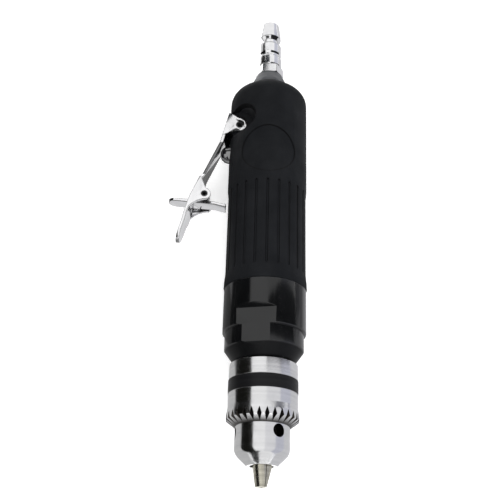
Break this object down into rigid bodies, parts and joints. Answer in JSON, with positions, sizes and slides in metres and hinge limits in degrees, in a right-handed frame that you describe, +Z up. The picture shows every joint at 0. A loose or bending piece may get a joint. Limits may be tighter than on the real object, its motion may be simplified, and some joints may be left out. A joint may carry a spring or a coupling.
{
  "type": "air drill",
  "caption": "Straight air drill with a lever throttle, lock-off latch, planetary gear, vane motor and keyed drill chuck, with a plug for an air hose coupling.",
  "frame": {"origin": "centre of the chuck's mouth, on the spindle's axis", "axes": "+Y along the spindle from the chuck to the air inlet, the lever on the -X side, +Z up with the tool lying on its side"},
  "size_m": [0.0703, 0.2542, 0.0406],
  "materials": {
    "grip_rubber": "matte moulded rubber with a fine grain",
    "casting": "machined aluminium casting",
    "gloss_black": "gloss black coating over turned steel",
    "grey_plating": "dark grey plated steel",
    "chrome_plating": "bright chrome plate",
    "screen_mesh": "woven wire",
    "felt": "grey felt",
    "liner_steel": "ground steel",
    "gear_steel": "hardened gear steel, oiled",
    "seal_rubber": "black nitrile rubber",
    "spring_steel": "drawn spring wire",
    "bearing_steel": "polished bearing steel",
    "pin_steel": "black oxide steel",
    "valve_brass": "turned brass",
    "button_plastic": "gloss black moulding",
    "vane_resin": "brown laminated resin",
    "spindle_steel": "turned steel",
    "chuck_steel": "bright turned and polished steel",
    "sleeve_steel": "bright turned steel with a black band",
    "nut_steel": "hardened steel, oiled",
    "jaw_steel": "ground tool steel"
  },
  "bodies": {
    "housing": {"grip_sleeve": "grip_rubber", "motor_housing": "casting", "gear_housing": "gloss_black", "inlet_bushing": "grey_plating", "inlet_screen": "screen_mesh", "air_plug": "chrome_plating", "exhaust_silencer": "felt", "front_end_plate": "casting", "rear_end_plate": "casting", "cylinder_liner": "liner_steel", "liner_dowel": "liner_steel", "ring_gear": "gear_steel", "spindle_seal": "seal_rubber", "bearing_circlip": "spring_steel", "spindle_bearing_outer": "bearing_steel", "spindle_bearing_balls": "bearing_steel", "front_bearing_outer": "bearing_steel", "front_bearing_balls": "bearing_steel", "rear_bearing_outer": "bearing_steel", "rear_bearing_balls": "bearing_steel", "lever_pin": "pin_steel", "valve_seat": "valve_brass", "valve_cap": "valve_brass", "valve_spring": "spring_steel"},
    "lever": {"throttle_lever": "chrome_plating", "latch_pin": "pin_steel", "latch_spring": "spring_steel"},
    "latch": {"lock_latch": "chrome_plating"},
    "throttle": {"throttle_button": "button_plastic", "valve_stem": "valve_brass", "poppet_seal": "seal_rubber"},
    "rotor": {"rotor": "liner_steel", "rotor_vanes": "vane_resin", "front_bearing_inner": "bearing_steel", "rear_bearing_inner": "bearing_steel"},
    "spindle": {"spindle": "spindle_steel", "planet_pins": "liner_steel", "spindle_bearing_inner": "bearing_steel", "chuck_body": "chuck_steel"},
    "planet_1": {"planet_gear_1": "gear_steel"},
    "planet_2": {"planet_gear_2": "gear_steel"},
    "planet_3": {"planet_gear_3": "gear_steel"},
    "key_sleeve": {"chuck_sleeve": "sleeve_steel", "chuck_nut": "nut_steel"},
    "jaw_1": {"chuck_jaw_1": "jaw_steel"},
    "jaw_2": {"chuck_jaw_2": "jaw_steel"},
    "jaw_3": {"chuck_jaw_3": "jaw_steel"}
  },
  "joints": [
    {"name": "lever_pivot", "type": "hinge", "parent": "housing", "child": "lever", "pos_m": [-0.0151, 0.1748, 0], "axis": [0, 0, 1], "range_deg": [0, 11], "stiffness_Nm_per_rad": 0.8, "springref_deg": -17.19},
    {"name": "latch_pivot", "type": "hinge", "parent": "lever", "child": "latch", "pos_m": [-0.0317, 0.1334, 0], "axis": [0, 0, 1], "range_deg": [-77, 0], "deforming": ["latch_spring"]},
    {"name": "button_slide", "type": "slide", "parent": "housing", "child": "throttle", "axis": [1, 0, 0], "range_m": [0, 0.0029], "deforming": ["valve_spring"]},
    {"name": "spindle_spin", "type": "hinge", "parent": "housing", "child": "spindle", "pos_m": [0, 0.05, 0], "axis": [0, 1, 0], "continuous": true},
    {"name": "rotor_spin", "type": "hinge", "parent": "housing", "child": "rotor", "pos_m": [0, 0.11, 0], "axis": [0, 1, 0], "continuous": true},
    {"name": "planet_1_spin", "type": "hinge", "parent": "spindle", "child": "planet_1", "pos_m": [0.00825, 0.06965, 0], "axis": [0, 1, 0], "continuous": true},
    {"name": "planet_2_spin", "type": "hinge", "parent": "spindle", "child": "planet_2", "pos_m": [-0.00413, 0.06965, -0.00715], "axis": [0, 1, 0], "continuous": true},
    {"name": "planet_3_spin", "type": "hinge", "parent": "spindle", "child": "planet_3", "pos_m": [-0.00413, 0.06965, 0.00715], "axis": [0, 1, 0], "continuous": true},
    {"name": "sleeve_turn", "type": "hinge", "parent": "spindle", "child": "key_sleeve", "pos_m": [0, 0.028, 0], "axis": [0, 1, 0], "range_deg": [0, 4630]},
    {"name": "jaw_1_slide", "type": "slide", "parent": "spindle", "child": "jaw_1", "axis": [0.2408, 0.9703, -0.0236], "range_m": [0, 0.0206]},
    {"name": "jaw_2_slide", "type": "slide", "parent": "spindle", "child": "jaw_2", "axis": [-0.1408, 0.9703, -0.1967], "range_m": [0, 0.0206]},
    {"name": "jaw_3_slide", "type": "slide", "parent": "spindle", "child": "jaw_3", "axis": [-0.0999, 0.9703, 0.2203], "range_m": [0, 0.0206]}
  ],
  "couplings": [
    {"joint": "latch_pivot", "follows": "lever_pivot", "ratio": -7},
    {"joint": "button_slide", "follows": "lever_pivot", "m_per_rad": 0.0151},
    {"joint": "rotor_spin", "follows": "spindle_spin", "ratio": 5},
    {"joint": "planet_1_spin", "follows": "spindle_spin", "ratio": -2.6667},
    {"joint": "planet_2_spin", "follows": "spindle_spin", "ratio": -2.6667},
    {"joint": "planet_3_spin", "follows": "spindle_spin", "ratio": -2.6667},
    {"joint": "jaw_1_slide", "follows": "sleeve_turn", "m_per_rad": 0.00025465},
    {"joint": "jaw_2_slide", "follows": "sleeve_turn", "m_per_rad": 0.00025465},
    {"joint": "jaw_3_slide", "follows": "sleeve_turn", "m_per_rad": 0.00025465}
  ]
}
